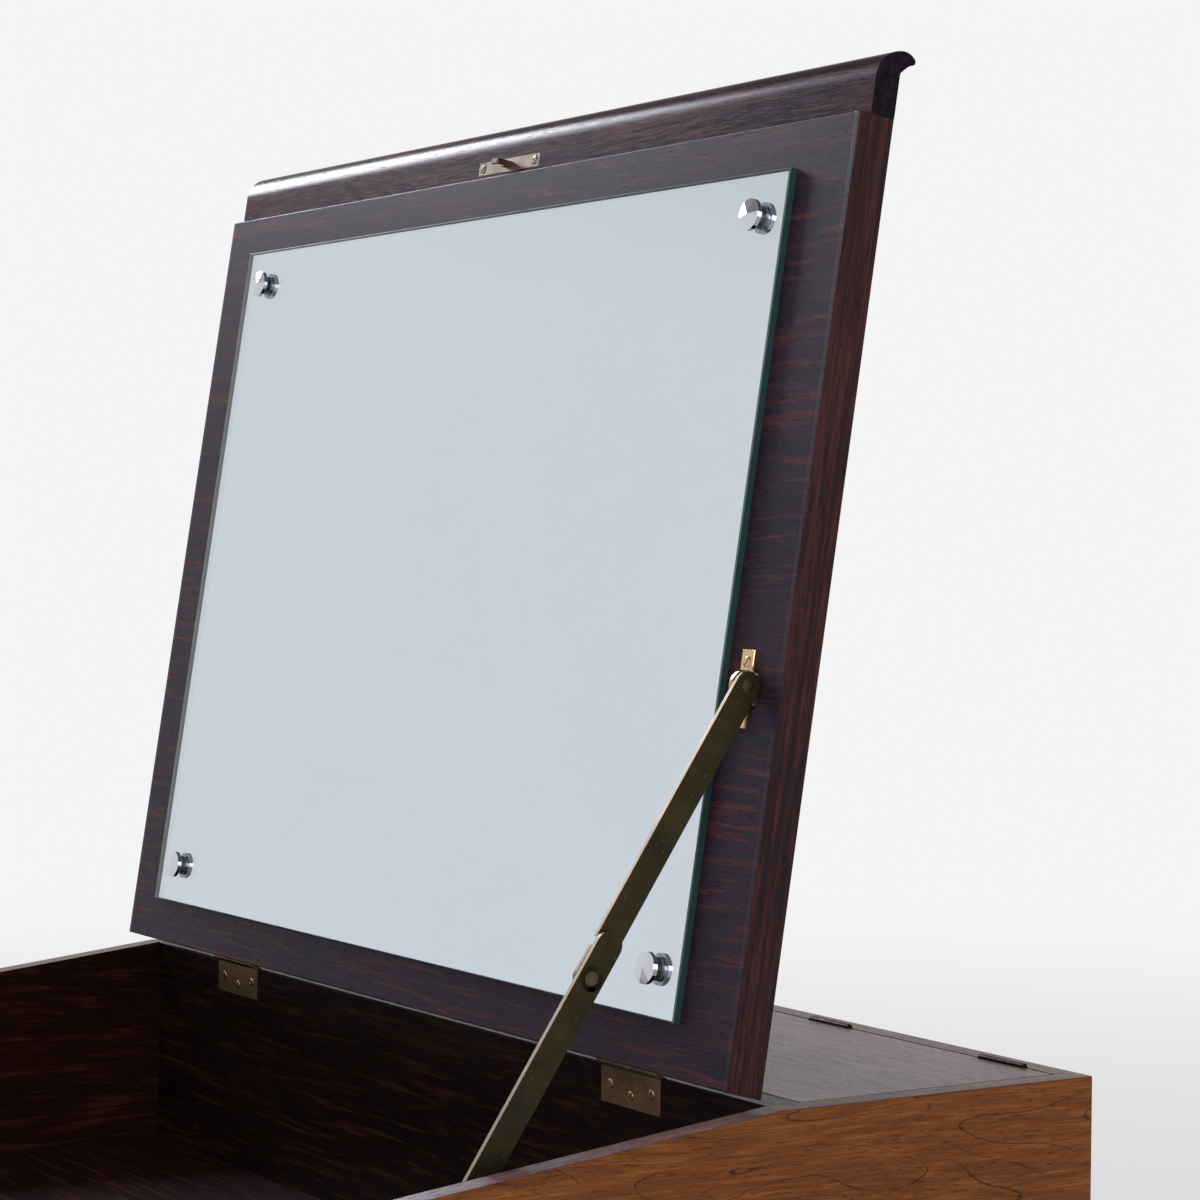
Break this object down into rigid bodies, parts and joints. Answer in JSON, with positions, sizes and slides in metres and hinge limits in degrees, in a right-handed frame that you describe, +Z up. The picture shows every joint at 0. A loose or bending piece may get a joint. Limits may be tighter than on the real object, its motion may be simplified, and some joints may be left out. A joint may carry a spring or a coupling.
{
  "type": "vanity table with mirror",
  "caption": "Slant-top wooden vanity table; the lid carries a mirror and opens on a folding brass stay over the front compartment, with a hinged flap over the rear one.",
  "frame": {"origin": "on the floor, at the middle of the case in plan", "axes": "+X to the table's right as its user sits at it, +Y towards the back, +Z up"},
  "size_m": [0.65, 0.622, 1.1829],
  "materials": {
    "rosewood_veneer": "dark figured rosewood veneer under satin varnish",
    "solid_rosewood": "solid rosewood under satin varnish",
    "floor_veneer": "dark veneered plywood",
    "rail_wood": "plain beech, oiled",
    "brass": "aged brass, satin",
    "dark_brass": "dark patinated brass",
    "chrome": "polished chrome",
    "mirror": "silvered float glass with ground edges",
    "steel": "zinc plated steel",
    "nylon": "moulded nylon"
  },
  "bodies": {
    "case": {"back_panel": "rosewood_veneer", "flap_hinge_1_fixed_leaf": "dark_brass", "flap_hinge_2_fixed_leaf": "dark_brass", "flap_hinge_3_fixed_leaf": "dark_brass", "flap_hinge_4_fixed_leaf": "dark_brass", "flap_hinge_case_screws": "dark_brass", "flap_hinge_pins": "dark_brass", "flap_rests": "rail_wood", "floor_panel": "floor_veneer", "front_panel": "rosewood_veneer", "front_rail": "rail_wood", "keyhole_plate": "brass", "left_side": "rosewood_veneer", "leg_front_left": "solid_rosewood", "leg_front_right": "solid_rosewood", "leg_glides": "nylon", "leg_inserts": "steel", "leg_rear_left": "solid_rosewood", "leg_rear_right": "solid_rosewood", "leg_studs": "steel", "lid_hinge_case_screws": "brass", "lid_hinge_left_fixed_leaf": "brass", "lid_hinge_left_pin": "brass", "lid_hinge_right_fixed_leaf": "brass", "lid_hinge_right_pin": "brass", "lock_case": "brass", "lock_case_screws": "steel", "partition": "rosewood_veneer", "rear_rail": "rail_wood", "right_side": "rosewood_veneer", "stay_bracket": "brass", "stay_bracket_screws": "brass"},
    "lid": {"lid_board": "rosewood_veneer", "lid_edging_left": "solid_rosewood", "lid_edging_right": "solid_rosewood", "lid_hinge_left_moving_leaf": "brass", "lid_hinge_lid_screws": "brass", "lid_hinge_right_moving_leaf": "brass", "lid_lip": "solid_rosewood", "lock_striker": "brass", "lock_striker_screws": "brass", "mirror_bushes": "nylon", "mirror_caps": "chrome", "mirror_glass": "mirror", "mirror_screws": "steel", "stay_lug": "brass", "stay_lug_rivet": "brass", "stay_lug_screws": "brass"},
    "flap": {"flap_hinge_1_moving_leaf": "dark_brass", "flap_hinge_2_moving_leaf": "dark_brass", "flap_hinge_3_moving_leaf": "dark_brass", "flap_hinge_4_moving_leaf": "dark_brass", "flap_hinge_flap_screws": "dark_brass", "rear_flap": "rosewood_veneer"},
    "stay_upper": {"stay_upper_arm": "brass"},
    "stay_lower": {"stay_lower_arm": "brass", "stay_elbow_rivet": "brass", "stay_foot_rivet": "brass"},
    "bolt": {"lock_bolt": "steel"}
  },
  "joints": [
    {"name": "lid_hinge", "type": "hinge", "parent": "case", "child": "lid", "pos_m": [0, 0.13348, 0.7215], "axis": [1, 0, 0], "range_deg": [0, 105.3]},
    {"name": "flap_hinge", "type": "hinge", "parent": "case", "child": "flap", "pos_m": [0, 0.29798, 0.7203], "axis": [-1, 0, 0], "range_deg": [0, 180]},
    {"name": "stay_lug_pivot", "type": "hinge", "parent": "lid", "child": "stay_upper", "pos_m": [0.29485, 0.13313, 0.90184], "axis": [1, 0, 0], "range_deg": [-149.59, 0]},
    {"name": "stay_elbow", "type": "hinge", "parent": "stay_upper", "child": "stay_lower", "pos_m": [0.2976, 0.05167, 0.77948], "axis": [1, 0, 0], "range_deg": [0, 171.81]},
    {"name": "lock_bolt_slide", "type": "slide", "parent": "case", "child": "bolt", "axis": [1, 0, 0], "range_m": [0, 0.004]}
  ],
  "couplings": [
    {"joint": "stay_lug_pivot", "follows": "lid_hinge", "ratio": -1.4201},
    {"joint": "stay_elbow", "follows": "lid_hinge", "ratio": 1.6312}
  ]
}
